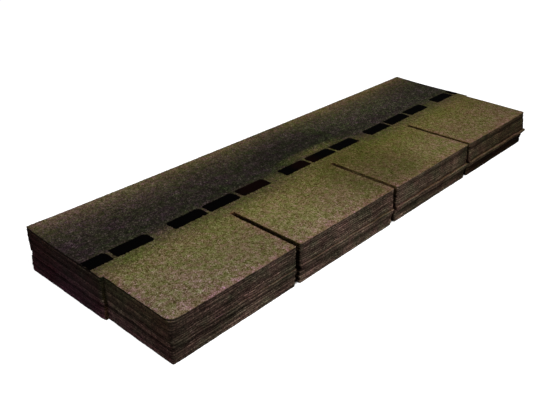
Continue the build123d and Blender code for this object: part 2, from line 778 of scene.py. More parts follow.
    def olive_map(self, bench: Bench) -> Signal:
        """Give the share of olive granules at each place.

        Args:
            bench: The material's bench.

        Returns:
            A ramp across the sheet, whose place is moved by slow noise and by a bulge behind one
            group of pads, where the olive granules reach further back.
        """
        along, across, _ = bench.die_place()
        aside = (along - self.reach_middle) / self.reach_width
        bulge = bench.math("EXPONENT", aside * aside * -1.0)
        wander = (bench.noise(self.border) - 0.5) * self.border_wander
        place = across + wander - bulge * self.reach
        width = self.die.width
        stops = tuple((across / width + 0.5, (share,) * 3) for across, share in self.olive_share)
        return bench.ramp(place / width + 0.5, stops)

    def spotted(self, bench: Bench, colour: Signal) -> Signal:
        """Tint a colour in the spots.

        Args:
            bench: The material's bench.
            colour: The colour between the spots.

        Returns:
            The colour, where each spot's tint fades out with the distance from its middle, measured
            in its radii and moved by noise.
        """
        along, across, _ = bench.die_place()
        wander = bench.noise(self.spot_rim) - 0.5
        for spot in self.spots:
            aside = (along - spot.middle[0]) / spot.radius[0]
            behind = (across - spot.middle[1]) / spot.radius[1]
            away = bench.math("SQRT", aside * aside + behind * behind) + wander
            colour = bench.tinted(colour, spot.tint, bench.span(away, *self.spot_fade))
        return colour

    def at_fringe(self, bench: Bench) -> Signal:
        """Give 1 along the tabs' edges, where they fade into the rim, and 0 inside them."""
        along, across, _ = bench.die_place()
        edge = bench.field(Field.EDGE).outputs["Fac"]
        ragged = bench.noise(self.fringe_rim) * self.fringe + edge
        start, end = (share * self.fringe for share in self.fringe_edge)
        low, high = (self.die.slot_end + step for step in self.fringe_back)
        on_tab = bench.span(across, low, high, 1.0, 0.0) * bench.span(along, *self.fringe_right)
        return bench.span(ragged, start, end, 1.0, 0.0) * on_tab

    def blend(self, bench: Bench, pick: Signal, kind: Signal, share: Signal) -> Signal:
        """Blend olive and charcoal granules.

        Args:
            bench: The material's bench.
            pick: The number that picks each granule's colour.
            kind: The number that decides whether it is olive or charcoal.
            share: The share of olive granules.

        Returns:
            The granules' colours. Each kind drifts over the sheet in its own way, and they scatter
            over the border, where the share is neither 0 nor 1.
        """
        along, across, _ = bench.die_place()
        by_length, by_width = along / self.die.length + 0.5, across / self.die.width + 0.5
        olive = bench.picked(pick, self.olive)
        olive = bench.tinted(olive, bench.ramp(by_length, self.blend_drift))
        olive = bench.tinted(olive, bench.ramp(by_width, self.tab_drift))
        charcoal = bench.picked(pick, self.charcoal)
        charcoal = bench.tinted(charcoal, bench.ramp(by_length, self.headlap_drift))
        charcoal = bench.tinted(charcoal, bench.shade(bench.mottle(self.crumbs)))
        hue = bench.mix(bench.mottle(self.charcoal_hue), self.green_tint, self.rose_tint)
        scatter = (kind - 0.5) * (share * (1.0 - share) * self.border_scatter)
        return bench.mix(scatter + share, bench.tinted(charcoal, hue), olive)

    def material(self, name: str) -> Material:
        """Make the finish of a sheet's upper side.

        Args:
            name: The material's name.

        Returns:
            The material: each Voronoi cell is a granule with a colour of its own, in green and rose
            patches and clouds of light and dark, and darker in the hollows between the granules.
        """
        bench = Bench.named(name)
        cells = bench.cells(self.grain)
        pick, kind, tone = bench.parts(cells.outputs["Color"])
        share = self.olive_map(bench)
        colour = self.blend(bench, pick, kind, share)
        clumps = (bench.noise(self.hue_clumps) - 0.5) * self.clump_lean
        hue = bench.mix(clumps + bench.mottle(self.hue_drift), self.green_tint, self.rose_tint)
        colour = bench.tinted(colour, hue)
        colour = bench.tinted(colour, self.fringe_tint, self.at_fringe(bench))
        colour = self.spotted(bench, colour)
        hollow = bench.span(cells.outputs["Distance"], *self.hollows)
        shade = tone.line(*self.tones) * hollow
        for cloud in self.clouds:
            shade = shade * bench.mottle(cloud)
        depth = share.line(*self.shade_depth)
        colour = bench.tinted(colour, bench.shade(shade, depth))
        # Painted shade on the granules of the sheets under the top one
        colour = bench.tinted(colour, self.painted_shade)
        roughness = bench.span(tone, *self.roughness)
        grit = bench.noise(self.grit) * self.grit_height + hollow
        return bench.finish(colour, roughness, grit, self.relief, self.shine)


@dataclass(frozen=True)
class CutEdgeFinish:
    """The die-cut edge: granules along its top, and the dark bitumen and mat below them."""

    die: DieCut = DIE
    grain: float = 520.0
    relief: float = 0.0004
    shine: float = 0.012
    granules: Palette = (
        (0.4, (0.123, 0.092, 0.066)),
        (0.25, (0.097, 0.068, 0.048)),
        (0.15, (0.165, 0.124, 0.095)),
        (0.2, (0.061, 0.043, 0.033)),
    )
    core: Palette = (
        (0.5, (0.080, 0.057, 0.044)),
        (0.3, (0.050, 0.034, 0.028)),
        (0.2, (0.137, 0.100, 0.076)),
    )
    seam: Pair = (0.65, 1.0)
    seam_rim: Noise = Noise(220.0, detail=2.0, rough=0.5)
    seam_wander: float = 0.5
    rose: Colour = (1.16, 0.93, 1.02)
    green: Colour = (0.86, 1.03, 0.90)
    hue: Noise = Noise(32.0, low=0.3, high=0.7, detail=5.0, rough=0.65, stretch=(1.0, 1.0, 1.3))
    headlap_tint: Colour = (0.46, 0.31, 0.42)
    headlap_fade: float = 0.02
    headlap_rim: Noise = Noise(40.0, detail=2.0, rough=0.5)
    # Tint along the length; its fall towards the right end is painted shade
    drift: Palette = (
        (0.0, (1.06, 1.05, 1.05)),
        (0.3, (1.2, 1.2, 1.18)),
        (0.5, (1.25, 1.26, 1.20)),
        (0.70, (1.12, 1.13, 1.0)),
        (0.88, (0.68, 0.68, 0.50)),
    )
    # Painted shadow at the foot of the right end, under the sheets that stand out there
    painted_shadow: Colour = (0.17, 0.12, 0.09)
    shadow_span: Pair = (0.19, 0.29)
    shadow_height: float = 0.019
    shadow_foot: float = 0.008
    shadow_fade: float = 0.002
    foot_share: float = 0.82
    smear: Noise = Noise(22.0, 0.5, 1.5, detail=5.0, rough=0.7)
    streak: Noise = Noise(34.0, 0.72, 1.28, stretch=(1.0, 1.0, 7.0))
    tones: Pair = (0.55, 0.9)
    roughness: Range = (0.0, 1.0, 0.75, 1.0)
    grit: Noise = Noise(700.0, rough=0.7)

    def foot_shadow(self, bench: Bench) -> Signal:
        """Give the strength of the painted shadow at the foot of the bundle's right end."""
        right, _, up = bench.parts(bench.place())
        fade = self.shadow_fade
        below = bench.span(up, self.shadow_height - fade, self.shadow_height + fade, 1.0, 0.0)
        lowest = (self.shadow_foot - fade, self.shadow_foot + fade, self.foot_share, 1.0)
        return below * bench.span(right, *self.shadow_span, 0.0, 1.0) * bench.span(up, *lowest)

    def material(self) -> Material:
        """Make the finish of the sheets' rims.

        Returns:
            The material: cells of granules above, of dark core below, in rose and green patches and
            level streaks, darker beside the headlap, with a painted shadow at the foot of one end,
            and toned sheet by sheet, in part with painted light and shade.
        """
        bench, die = Bench.named("cut_edge"), self.die
        cells = bench.cells(self.grain)
        pick, _, tone = bench.parts(cells.outputs["Color"])
        along, across, height = bench.die_place()
        wander = bench.noise(self.seam_rim) * (self.seam_wander * die.thickness) + height
        start, end = (share * die.thickness for share in self.seam)
        above = bench.span(wander, start, end, 0.0, 1.0)
        colour = bench.mix(above, bench.picked(pick, self.core), bench.picked(pick, self.granules))
        place = bench.noise(self.headlap_rim) * self.headlap_fade + across
        headlap = bench.span(place, die.slot_end, die.slot_end + self.headlap_fade, 0.0, 1.0)
        colour = bench.tinted(colour, self.headlap_tint, headlap)
        # The drift's fall towards the right end is painted shade
        colour = bench.tinted(colour, bench.ramp(along / die.length + 0.5, self.drift))
        colour = bench.tinted(colour, bench.mix(bench.mottle(self.hue), self.rose, self.green))
        # Painted shadow: darker at the foot of the right end, under the sheets that stand out above
        # it
        colour = bench.tinted(colour, self.painted_shadow, self.foot_shadow(bench))
        shade = bench.mottle(self.smear) * tone.line(*self.tones)
        colour = bench.tinted(colour, bench.shade(shade * bench.mottle(self.streak)))
        colour = bench.tinted(colour, bench.field(Field.TONE).outputs["Color"])
        roughness = bench.span(tone, *self.roughness)
        return bench.finish(colour, roughness, bench.noise(self.grit), self.relief, self.shine)


@dataclass(frozen=True)
class UndersideFinish:
    """The underside: bitumen dusted with fine sand."""

    grain: float = 1100.0
    relief: float = 0.0002
    shine: float = 0.1
    bitumen: Colour = (0.018, 0.015, 0.014)
    sand: Colour = (0.09, 0.08, 0.068)
    sanded: Noise = Noise(20.0, 0.15, 0.4, low=0.3, high=0.7, rough=0.5)
    roughness: Range = (0.0, 1.0, 0.6, 0.95)
    grains: Range = (0.0, 0.8, 1.0, 0.0)

    def material(self) -> Material:
        """Make the finish of the sheets' lower side: sparse grains of sand on the bitumen."""
        bench = Bench.named("sanded_underside")
        cells = bench.cells(self.grain)
        pick, _, tone = bench.parts(cells.outputs["Color"])
        on_grain = bench.math("LESS_THAN", pick, bench.mottle(self.sanded))
        colour = bench.mix(on_grain, self.bitumen, self.sand)
        roughness = bench.span(tone, *self.roughness)
        height = bench.span(cells.outputs["Distance"], *self.grains)
        return bench.finish(colour, roughness, height, self.relief, self.shine)


@dataclass(frozen=True)
class BitumenFinish:
    """The printed seal pads: matt bitumen, pitted, with a faint rusty cast in places."""

    relief: float = 0.00025
    shine: float = 0.002
    black: Colour = (0.0007, 0.0006, 0.0006)
    rusty: Colour = (0.0030, 0.0011, 0.0009)
    rust_places: Pair = (-0.165, -0.03)
    rust_reach: float = 0.035
    rust_fade: float = 1.8
    rust_rim: Noise = Noise(45.0, rough=0.5)
    pits: Noise = Noise(900.0)
    roughness: Range = (0.3, 0.7, 0.62, 0.9)

    def material(self) -> Material:
        """Make the finish of the pads: black, rusty round two places in the row, finely pitted."""
        bench, reach = Bench.named("seal_bitumen"), self.rust_reach
        along, _, _ = bench.parts(bench.place())
        nearest = bench.math("MINIMUM", *(abs(along - place) for place in self.rust_places))
        ragged = bench.noise(self.rust_rim) * reach + nearest
        cast = bench.span(ragged, reach, self.rust_fade * reach, 1.0, 0.0)
        colour = bench.mix(cast, self.black, self.rusty)
        pits = bench.noise(self.pits)
        roughness = bench.span(pits, *self.roughness)
        return bench.finish(colour, roughness, pits, self.relief, self.shine)


def make_piece(
    name: str, points: Array, blocks: Blocks, materials: list[Material]
) -> bpy.types.Object:
    """Put points and faces into a mesh whose object sits at the origin.

    Args:
        name: The piece's name.
        points: One row for each point.
        blocks: Faces with the same number of corners, one row for each, with the place of their
            material. Those with four are shaded smooth, and the others, which close a piece, flat.
        materials: The materials.

    Returns:
        The piece, in the scene.
    """
    mesh = bpy.data.meshes.new(name)
    counts = np.concatenate([np.full(len(faces), faces.shape[1]) for _, faces in blocks])
    finishes = np.concatenate([np.full(len(faces), finish) for finish, faces in blocks])
    corners = np.concatenate([faces.ravel() for _, faces in blocks])
    mesh.vertices.add(len(points))
    mesh.vertices.foreach_set("co", points.astype(np.float32).ravel())
    mesh.loops.add(len(corners))
    mesh.loops.foreach_set("vertex_index", corners.astype(np.int32))
    mesh.polygons.add(len(counts))
    mesh.polygons.foreach_set("loop_start", (np.cumsum(counts) - counts).astype(np.int32))
    mesh.polygons.foreach_set("material_index", finishes.astype(np.int32))
    mesh.polygons.foreach_set("use_smooth", counts == 4)
    for material in materials:
        mesh.materials.append(material)
    mesh.update(calc_edges=True)
    mesh.validate()
    piece = bpy.data.objects.new(name, mesh)
    bpy.context.scene.collection.objects.link(piece)
    return piece


def add_field(piece: bpy.types.Object, field: Field, values: Array) -> None:
    """Store an attribute on a piece's points: a number each, or three."""
    kind, key = ("FLOAT", "value") if values.ndim == 1 else ("FLOAT_VECTOR", "vector")
    attribute = piece.data.attributes.new(field.value, kind, "POINT")
    attribute.data.foreach_set(key, values.astype(np.float32).ravel())


@dataclass(frozen=True)
class CutTones:
    """How light the sheets' cut edges are, from the lowest up, and the tint of slots and ends.

    The tones are partly the sheets' own and partly painted light and shade, and the slots'
    tint is painted shade.
    """

    die: DieCut = DIE
    # Per-sheet tones: partly the sheets' own tone, partly painted light and painted shade
    left: Numbers = (
        1.4, 1.15, 1.55, 1.22, 0.88, 0.68, 0.64, 0.6, 1.05,
        1.4, 0.82, 0.6, 0.7, 0.84, 1.2, 0.8, 0.8, 0.66,
    )
    right: Numbers = (
        1.0, 0.9, 0.75, 0.72, 0.62, 0.85, 1.15, 1.3, 0.6,
        1.2, 0.75, 0.95, 1.12, 1.04, 0.74, 0.34, 1.05, 1.25,
    )
    ends: Numbers = (
        1.3, 1.5, 0.6, 1.1, 0.85, 0.38, 1.6, 1.7, 0.57,
        0.77, 0.95, 1.6, 0.52, 0.84, 0.86, 0.6, 0.86, 0.22,
    )
    # Painted light on the sheets that catch the lamp
    caught: tuple[int, ...] = (5, 6)
    painted_light: float = 1.7
    # Painted shade in the slots, from the lowest sheet to the top one
    slot_low: Colour = (0.11, 0.095, 0.08)
    slot_high: Colour = (0.95, 0.9, 0.47)
    slot_power: float = 14.0
    # Painted shade in the half slots at the ends, from the lowest sheet to the top one
    end_slot_low: Colour = (0.65, 0.6, 0.42)
    end_slot_high: Colour = (0.30, 0.5, 0.32)
    end_slot_power: float = 2.0
    end_low: Colour = (1.11, 0.89, 1.12)
    end_high: Colour = (0.84, 1.02, 0.71)
    end_fade: float = 0.4
    end_places: Numbers = (-0.14, -0.065, -0.037, -0.005, 0.03, 0.07, 0.11)
    end_tints: tuple[Colour, ...] = (
        (1.3, 1.12, 1.18),
        (1.52, 1.57, 1.6),
        (1.22, 1.24, 1.26),
        (1.73, 1.95, 2.05),
        (1.26, 1.45, 1.62),
        (1.6, 1.8, 2.1),
        (1.13, 1.02, 1.13),
    )
    back: Colour = (1.9, 2.6, 2.1)
    # Painted shade at the front's corners: the tone at the left one, and the fall at the right
    corner: float = 0.42
    corner_shade_reach: float = 0.075
    right_corner_shade: float = 0.4

    @staticmethod
    def between(low: Colour, high: Colour, share: float) -> Array:
        """Give the colour at a share of the way from one colour to another."""
        return np.array(low) * (1.0 - share) + np.array(high) * share

    def along_front(self, number: int, along: Array) -> Array:
        """Work out the tone along one sheet.

        Args:
            number: The sheet's number from the bottom, from 0.
            along: Places along the sheet.

        Returns:
            The left tone going over smoothly to the right one. Sheets that catch the light get
            painted
            light: they are lighter away from the slots by s * s * (1 - s) over its peak of 4 / 27,
                where
            s is the share of the length.
        """
        share = along / self.die.length + 0.5
        left, right = self.left[number], self.right[number]
        tone = left + (right - left) * smooth_step(share)
        from_slot = self.die.from_slot(along) - self.die.slot_width / 2
        light = self.painted_light * (number in self.caught) * smooth_step(from_slot / self.die.slot_width)
        return tone + light * share**2 * (1.0 - share) * 27.0 / 4.0

    def long_edges(self, tone: Array, along: Array, at_back: Array) -> Array:
        """Work out the colour of the front and back edges.

        Args:
            tone: The tone along the sheet.
            along: Places along the sheet.
            at_back: Whether they are on the back edge.

        Returns:
            The tone. On the front it has painted shade at both corners: it rises from the left
            corner with the square root of the way and falls smoothly to the right one, and the back
            edge has a tint.
        """
        half_length = self.die.length / 2
        from_left = (along + half_length - self.die.slot_width / 2) / self.corner_shade_reach
        way = np.maximum(np.sqrt(np.clip(from_left, 0.0, 1.0)), at_back)
        to_right = smooth_step((along - half_length) / self.corner_shade_reach + 1.0)
        # Painted shade near both front corners
        dim = (self.corner + (1.0 - self.corner) * way) * (1.0 - self.right_corner_shade * to_right)
        return (tone * dim)[:, None] * np.where(at_back[:, None], self.back, 1.0)

    def of_sheet(self, number: int, points: Array) -> Array:
        """Work out the colour at points of one sheet.

        Args:
            number: The sheet's number from the bottom, from 0.
            points: Places on the sheet, along and across.

        Returns:
            The colour of the long edges, with the ends and the slots over it. The ends have their
            own tone, tinted by height and by the place across the sheet. The slots have painted
            shade by height, deepest on the lower sheets, and the half slots at the ends have
            painted shade by height, times the tone.
        """
        die, along, across = self.die, points[:, 0], points[:, 1]
        level = number / (len(self.left) - 1)
        tone = self.along_front(number, along)
        from_end = die.length / 2 - np.abs(along)
        at_back = (across > die.width / 2 - die.worn_radius) & (from_end > die.worn_radius)
        edges = self.long_edges(tone, along, at_back)
        by_height = self.ends[number] * self.between(self.end_low, self.end_high, level)
        tints = zip(*self.end_tints)
        by_place = np.stack([np.interp(across, self.end_places, part) for part in tints], 1)
        at_end = smooth_step((die.slot_width - from_end) / (self.end_fade * die.slot_width))
        at_end = at_end * smooth_step((across + die.width / 2) / die.slot_width) * ~at_back
        plain = edges + at_end[:, None] * (by_height * by_place - edges)
        # Painted shade in the slots and in the half slots at the ends
        slot = self.between(self.slot_low, self.slot_high, level**self.slot_power)
        half_slot = self.between(self.end_slot_low, self.end_slot_high, level**self.end_slot_power)
        slot = np.where(from_end[:, None] > die.slot_width, slot, tone[:, None] * half_slot)
        in_slot = die.in_slot(points)[:, None]
        return plain * (1.0 - in_slot) + slot * in_slot


@dataclass
class Shingle:
    """One sheet: a rim profile carried round the die-cut outline, closed above and below."""

    number: int
    place: SheetPlace
    die: DieCut = DIE
    settling: Settling = Settling()
    tones: CutTones = CutTones()
    spacing: float = 0.0018
    tab_radius: float = 0.003
    end_radius: float = 0.003
    worn_end_radius: float = 0.013
    wear_power: float = 10.0
    foot_spread: float = 0.0003
    foot_bow: float = 0.0008
    foot_power: float = 6.0
    left_reach: float = 0.0012
    left_power: float = 8.0
    right_flare: float = 0.0036
    flare_level: float = 0.48
    flare_spread: float = 0.34
    end_length: float = 0.1
    tab_slack: Pair = (0.0005, 0.0002)
    slack_limit: float = 1.6
    cut_drift: float = 0.0002
    cut_waves: Numbers = (0.31, 0.127, 0.043)
    rim: Profile = (
        (0.0060, 0.00, 0.0),
        (0.0003, -0.03, 0.00010),
        (0.0000, 0.05, 0.00016),
        (0.0000, 0.40, 0.00020),
        (0.0000, 0.75, 0.00022),
        (0.0000, 1.00, 0.00022),
        (0.0002, 1.06, 0.00016),
        (0.0012, 1.05, 0.00016),
        (0.0060, 1.00, 0.0),
    )

    @property
    def name(self) -> str:
        """The CAD node that the sheet stands for."""
        return f"shingle_{self.number + 1:02d}"

    @property
    def level(self) -> float:
        """The sheet's height in the bundle, from 0 to 1."""
        return self.settling.level(self.number)

    def drift(self, rng: Draws, count: int, step: float) -> Array:
        """Give the slow waves of the cut for a number of steps round the outline."""
        return self.cut_drift * waves(rng, np.arange(count) * step, self.cut_waves)

    def carried(
        self, profile: Profile, outline: Array, inward: Array, shifts: list[Array]
    ) -> Array:
        """Carry a profile round the outline.

        Args:
            profile: The inset, the share of the thickness and the roughness of each row.
            outline: The outline's points.
            inward: The step to the inside at each.
            shifts: The noise for every row, and the drift that all rows share.

        Returns:
            The points, row by row: the outline moved inwards by inset + noise * roughness + drift,
            at the row's share of the thickness.
        """
        noise, drift = shifts
        inset, share, rough = np.array(profile).T[..., None]
        depth = inset + noise * rough + drift
        flat = outline + inward * depth[..., None]
        tall = np.broadcast_to(share * self.die.thickness, depth.shape)
        return np.concatenate([flat, tall[..., None]], -1).reshape(-1, 3)

    def shell(self, rng: Draws) -> tuple[Array, Blocks]:
        """Carry the rim profile round the outline and close it by fans of triangles.

        Args:
            rng: The sheet's random numbers.

        Returns:
            The points, about the sheet's middle, and the faces.
        """
        outline, inward, starts = self.die.path(self.spacing)
        rows, count = len(self.rim), len(outline)
        shifts = [clipped_noise(rng, rows, count), self.drift(rng, count, self.spacing)]
        points = self.carried(self.rim, outline, inward, shifts)
        quads = ring_quads(rows, count)
        panels = self.die.panels(starts, count)
        points, lowest = fans(points, [panel[::-1] for panel in panels])
        points, highest = fans(points, [panel + (rows - 1) * count for panel in panels])
        return points, [
            (Face.UNDER.value, quads[:count]),
            (Face.RIM.value, quads[count:-count]),
            (Face.TOP.value, quads[-count:]),
            (Face.UNDER.value, lowest),
            (Face.TOP.value, highest),
        ]

    def tab_shift(self, rng: Draws, points: Array) -> Array:
        """Let each tab swing a little out of line, not at the slots' ends and most at its front."""
        draws = rng.normal(size=(self.die.tab_count, 2))
        swing = np.clip(draws, -self.slack_limit, self.slack_limit) * np.array(self.tab_slack)
        reach = np.clip((self.die.slot_end - points[:, 1]) / self.die.slot_depth, 0.0, 1.0)
        return swing[self.die.tab_of(points[:, 0])] * reach[:, None]

    def end_shift(self, points: Array) -> Array:
        """Say how far the sheet's ends stand out.

        Args:
            points: Points about the sheet's middle.

        Returns:
            The shift along the sheet over its last stretch: the headlap's left end stands out under
            the top sheets, and the right end does by a bell curve over the height of the bundle.
        """
        start = self.die.length / 2 - self.end_length
        to_left = smooth_step((-points[:, 0] - start) / self.end_length)
        to_right = smooth_step((points[:, 0] - start) / self.end_length)
        headlap = smooth_step((points[:, 1] - self.die.slot_end) / self.die.slot_width)
        bell = np.exp(-(((self.level - self.flare_level) / self.flare_spread) ** 2))
        reach = self.left_reach * (1.0 - self.level**self.left_power)
        return self.right_flare * bell * to_right - reach * headlap * to_left

    def settled(self, rng: Draws, points: Array) -> Array:
        """Ease the corners, swing the tabs, let the sheet settle and lay it in its CAD place.

        Args:
            rng: The sheet's random numbers.
            points: Points about the sheet's middle.

        Returns:
            The points in the part's frame. The lowest sheets also bow forward at both ends.
        """
        worn = (self.worn_end_radius - self.end_radius) * self.level**self.wear_power
        flat = self.die.eased(points[:, :2], self.tab_radius, self.end_radius + worn)
        flat = flat + self.tab_shift(rng, points)
        flat[:, 0] += self.end_shift(points)
        bow = self.foot_spread + self.foot_bow * (2.0 * points[:, 0] / self.die.length) ** 2
        flat[:, 1] -= bow * (1.0 - self.level) ** self.foot_power
        height = points[:, 2] + self.settling.lift(self.number, points)
        return self.place.laid(np.column_stack([flat, height]))

    def build(self, materials: list[Material]) -> bpy.types.Object:
        """Build the sheet's piece and let it stand for its CAD node.

        Args:
            materials: The finishes, in the order of Face.

        Returns:
            The piece.
        """
        rng = np.random.default_rng(SHEET_SEED + self.number)
        points, blocks = self.shell(rng)
        piece = make_piece(self.name + "_sheet", self.settled(rng, points), blocks, materials)
        add_field(piece, Field.DIE, points)
        add_field(piece, Field.EDGE, self.die.edge_distance(points))
        add_field(piece, Field.TONE, self.tones.of_sheet(self.number, points))
        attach(piece, BODY)
        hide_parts(self.name)
        return piece


@dataclass
class TopShingle(Shingle):
    """The sheet that shows: a fine grid with its granules' relief, and a rim carried round it."""

    grid: float = 0.00205
    lip: float = 0.0006
    lip_reach: float = 0.0013
    lip_drop: float = 0.0003
    grain_height: float = 0.00013
    grain_shift: float = 0.0005
    edge_grain: float = 0.4
    edge_rough: float = 0.00032
    wall: Profile = (
        (0.0000, 0.60, 0.00028),
        (0.0000, 0.36, 0.00022),
        (0.0000, 0.12, 0.00018),
        (0.0004, 0.00, 0.00012),
    )

    def stations(self, breaks: Array) -> Array:
        """Place grid lines between the breaks: evenly, with one a lip's width inside each break.

        Args:
            breaks: Where the outline's edges lie, in order.

        Returns:
            The lines, the breaks among them.
        """
        counts = np.maximum(np.round(np.diff(breaks) / self.grid).astype(int), 2)
        lines = [
            np.append(start, np.linspace(start + self.lip, end - self.lip, count))
            for start, end, count in zip(breaks[:-1], breaks[1:], counts)
        ]
        return np.concatenate([*lines, breaks[-1:]])

    def loop(self, along: Array, across: Array) -> tuple[Array, Array, Array]:
        """Follow the outline through the grid.

        Args:
            along: The grid's lines along the sheet.
            across: Its lines across the sheet.

        Returns:
            The numbers of the grid's points on the outline, in order, the step to the inside at
            each, and where in that order the corners are.
        """
        corners = self.die.corners()
        columns = np.abs(along - corners[:, :1]).argmin(1)
        rows = np.abs(across - corners[:, 1:]).argmin(1)
        first = rows * len(along) + columns
        aside = np.sign(np.roll(columns, -1) - columns)
        behind = np.sign(np.roll(rows, -1) - rows)
        strides = np.where(aside != 0, aside, behind * len(along))
        runs = [np.arange(*ends) for ends in zip(first, np.roll(first, -1), strides)]
        counts = np.array([len(each) for each in runs])
        places = np.concatenate(runs)
        run = np.repeat(np.arange(len(runs)), counts)
        return places, self.die.inward(run, np.isin(places, first)), np.cumsum(counts) - counts

    def shell(self, rng: Draws) -> tuple[Array, Blocks]:
        """Lay a grid over the outline, rough with granules, and carry a wall round its edge.

        Args:
            rng: The sheet's random numbers.

        Returns:
            The points, about the sheet's middle, and the faces. The grid's height is the thickness
            less a lip that falls off with the square of the way to the edge, with noise added.
        """
        die, half_length, half_width = self.die, self.die.length / 2, self.die.width / 2
        walls = (die.slots()[:, None] + np.array([-0.5, 0.5]) * die.slot_width).ravel()
        along = self.stations(np.clip(walls, -half_length, half_length))
        across = self.stations(np.array([-half_width, die.slot_end, half_width]))
        flat = np.stack(np.meshgrid(along, across), -1).reshape(-1, 2)
        edge = die.edge_distance(flat)
        places, inward, starts = self.loop(along, across)
        rows, count = len(self.wall), len(places)

        noise = clipped_noise(rng, len(flat), 3)
        inside = smooth_step((edge - self.lip) / self.grid)
        drop = self.lip_drop * (1.0 - np.clip(edge / self.lip_reach, 0.0, 1.0)) ** 2
        grain = self.grain_height * (self.edge_grain + (1.0 - self.edge_grain) * inside)
        height = die.thickness - drop + noise[:, 2] * grain
        shifted = flat + noise[:, :2] * self.grain_shift * inside[:, None]
        drift = self.drift(rng, count, self.grid)
        ragged = clipped_noise(rng, count) * self.edge_rough + drift
        shifted[places] += inward * ragged[:, None]
        shifts = [clipped_noise(rng, rows, count), drift]
        wall = self.carried(self.wall, flat[places], inward, shifts)
        points = np.concatenate([np.column_stack([shifted, height]), wall])

        quads = grid_quads(len(across), len(along))
        on_sheet = die.edge_distance(flat[quads].mean(1)) > 0.0
        wall_rows = len(flat) + np.arange(rows * count).reshape(rows, count)
        ring = np.concatenate([wall_rows[::-1], places[None]])
        rim = ring.ravel()[ring_quads(rows + 1, count)]
        panels = [ring[0][panel[::-1]] for panel in die.panels(starts, count)]
        points, lowest = fans(points, panels)
        blocks = [
            (Face.TOP.value, quads[on_sheet]),
            (Face.UNDER.value, rim[:count]),
            (Face.RIM.value, rim[count:]),
            (Face.UNDER.value, lowest),
        ]
        used = np.zeros(len(points), bool)
        used[np.concatenate([faces.ravel() for _, faces in blocks])] = True
        renumbered = np.cumsum(used) - 1
        return points[used], [(finish, renumbered[faces]) for finish, faces in blocks]


@dataclass
class SealPads:
    """The row of bitumen pads printed on one sheet, in one group for each slot."""

    number: int
    place: SheetPlace
    die: DieCut = DIE
    settling: Settling = Settling()
    columns: int = 12
    rows: int = 6
    per_group: int = 3
    length: float = 0.0685
    width: float = 0.0265
    height: float = 0.00055
    gap: float = 0.0045
    group_offset: float = 0.013
    front_corner: float = 0.0025
    back_left_corner: float = 0.005
    back_right_corner: float = 0.009
    bank: float = 0.0016
    sunk: float = 0.0002
    edge_wander: float = 0.0004
    wander_power: float = 6.0
    lumps: float = 0.08
    lump_limit: float = 0.2

    def spans(self) -> Array:
        """Give both ends of every pad along the sheet, cut off at the sheet's ends."""
        steps = np.arange(self.per_group) - (self.per_group - 1) / 2
        steps = self.group_offset + steps * (self.length + self.gap)
        middles = (self.die.tab_lines()[:, None] + steps).ravel()
        ends = middles[:, None] + np.array([-0.5, 0.5]) * self.length
        ends = np.clip(ends, -self.die.length / 2, self.die.length / 2)
        return ends[ends[:, 1] - ends[:, 0] > self.gap]

    def shorter(self, across: Array, back_corner: float) -> Array:
        """Say how much a pad's rows are shortened at one end to round its corners.

        Args:
            across: Places across the pad, from -1 at its front to 1 at its back.
            back_corner: The radius of the corner at the back.

        Returns:
            radius * (1 - sqrt(1 - c * c)), where c goes from 0 to 1 over the last radius before
            the pad's side.
        """
        radius = np.where(across > 0.0, back_corner, self.front_corner)
        share = np.clip(1.0 - (1.0 - np.abs(across)) * self.width / 2 / radius, 0.0, 1.0)
        return radius * (1.0 - np.sqrt(1.0 - share**2))

    def surface(self, spans: Array) -> Array:
        """Work out the points of the pads' upper sides.

        Args:
            spans: Both ends of every pad.

        Returns:
            The points, pad by pad. Each is a grid over a rectangle whose rows are shortened near
            its long sides, but not at the sheet's ends. It rises from its sunk rim with the square
            root of the way in, with noise on top.
        """
        rng = np.random.default_rng(PAD_SEED + self.number)
        aside = np.linspace(-1.0, 1.0, self.columns)
        across = np.linspace(-1.0, 1.0, self.rows)
        half_length, half_width = self.die.length / 2, self.width / 2
        half = (spans[:, 1] - spans[:, 0])[:, None, None] / 2
        left = self.shorter(across, self.back_left_corner) * (spans[:, :1] > -half_length)
        right = self.shorter(across, self.back_right_corner) * (spans[:, 1:] < half_length)
        cut = (left[..., None] * (1.0 - aside) - right[..., None] * (1.0 + aside)) / 2
        wobble = rng.normal(size=(len(spans), self.rows, 1)) * self.edge_wander
        wobble = wobble * np.abs(aside) ** self.wander_power
        along = spans.mean(1)[:, None, None] + half * aside + cut + wobble
        sway = rng.normal(size=(len(spans), 1, self.columns)) * self.edge_wander
        across = across[:, None]
        side = self.settling.pad_line + across * half_width
        side = np.broadcast_to(side + sway * np.abs(across) ** self.wander_power, along.shape)
        way_in = np.minimum((1.0 - np.abs(aside)) * half, (1.0 - np.abs(across)) * half_width)
        rise = np.sqrt(np.clip(way_in / self.bank, 0.0, 1.0))
        lumps = self.lumps * rng.normal(size=along.shape)
        lumps = np.clip(lumps, -self.lump_limit, self.lump_limit)
        tall = self.die.thickness - self.sunk + (self.height + self.sunk) * rise * (1.0 + lumps)
        inside = np.clip(along, -half_length, half_length)
        return np.stack([inside, side, tall], -1).reshape(-1, 3)

    def build(self, material: Material) -> bpy.types.Object:
        """Build the pads of one sheet and let them stand for their CAD node.

        Args:
            material: The bitumen.

        Returns:
            The piece: each pad's upper side, and one face that closes it below.
        """
        spans = self.spans()
        points = self.surface(spans)
        points[:, 2] += self.settling.lift(self.number, points)
        grid = np.arange(self.rows * self.columns).reshape(self.rows, self.columns)
        rim = np.concatenate([grid[:, 0], grid[-1, 1:], grid[-2::-1, -1], grid[0, -2:0:-1]])
        starts = np.arange(len(spans))[:, None] * grid.size
        upper = (starts[..., None] + grid_quads(self.rows, self.columns)).reshape(-1, 4)
        name = f"seal_pads_{self.number + 1:02d}"
        blocks = [(0, upper), (0, starts + rim)]
        piece = make_piece(name + "_print", self.place.laid(points), blocks, [material])
        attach(piece, BODY)
        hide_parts(name)
        return piece


